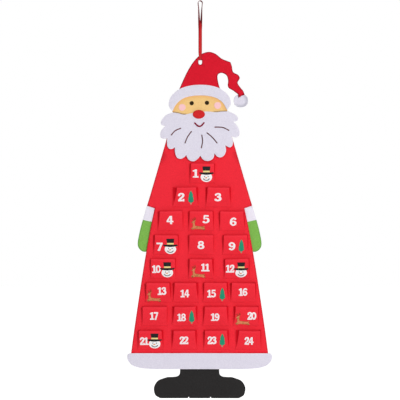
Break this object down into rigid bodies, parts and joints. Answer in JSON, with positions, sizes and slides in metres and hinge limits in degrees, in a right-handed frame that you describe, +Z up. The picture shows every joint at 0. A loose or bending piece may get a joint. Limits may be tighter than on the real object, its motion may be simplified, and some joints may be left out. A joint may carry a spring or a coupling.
{
  "type": "advent calendar",
  "caption": "Felt wall-hung advent calendar: a long Father Christmas with open pockets sewn over the coat, hanging on a ribbon loop through the hat.",
  "frame": {"origin": "inner top of the ribbon loop, where the nail or hook holds it; the hat's felt lies midway between the ribbon's two strands", "axes": "+Z up along the hanging ribbon, -Y out of the front towards the room, +X to the viewer's right"},
  "size_m": [0.4346, 0.0259, 1.1941],
  "materials": {
    "coat_felt": "matte craft felt",
    "hat_felt": "matte craft felt",
    "white_felt": "matte craft felt",
    "skin_felt": "matte craft felt",
    "blush_felt": "matte craft felt",
    "nose_felt": "matte craft felt",
    "mouth_felt": "matte craft felt",
    "black_felt": "matte craft felt",
    "mitten_felt": "matte craft felt",
    "ribbon_satin": "satin weave"
  },
  "bodies": {
    "ribbon": {"ribbon_loop": "ribbon_satin", "ribbon_knot": "ribbon_satin"},
    "calendar": {"body_panel": "coat_felt", "hat": "hat_felt", "hat_brim": "white_felt", "pompom": "white_felt", "face": "skin_felt", "beard": "white_felt", "nose": "nose_felt", "mouth": "mouth_felt", "eye_left": "black_felt", "eye_right": "black_felt", "cheek_left": "blush_felt", "cheek_right": "blush_felt", "cuff_left": "white_felt", "cuff_right": "white_felt", "mitten_left": "mitten_felt", "mitten_right": "mitten_felt", "hem_trim": "white_felt", "boots": "black_felt", "pocket_01": "coat_felt", "pocket_02": "coat_felt", "pocket_03": "coat_felt", "pocket_04": "coat_felt", "pocket_05": "coat_felt", "pocket_06": "coat_felt", "pocket_07": "coat_felt", "pocket_08": "coat_felt", "pocket_09": "coat_felt", "pocket_10": "coat_felt", "pocket_11": "coat_felt", "pocket_12": "coat_felt", "pocket_13": "coat_felt", "pocket_14": "coat_felt", "pocket_15": "coat_felt", "pocket_16": "coat_felt", "pocket_17": "coat_felt", "pocket_18": "coat_felt", "pocket_19": "coat_felt", "pocket_20": "coat_felt", "pocket_21": "coat_felt", "pocket_22": "coat_felt", "pocket_23": "coat_felt", "pocket_24": "coat_felt"}
  },
  "joints": [
    {"name": "swing", "type": "hinge", "parent": "ribbon", "child": "calendar", "pos_m": [0, 0, -0.1803], "axis": [0, 1, 0], "range_deg": [-30, 30]}
  ]
}
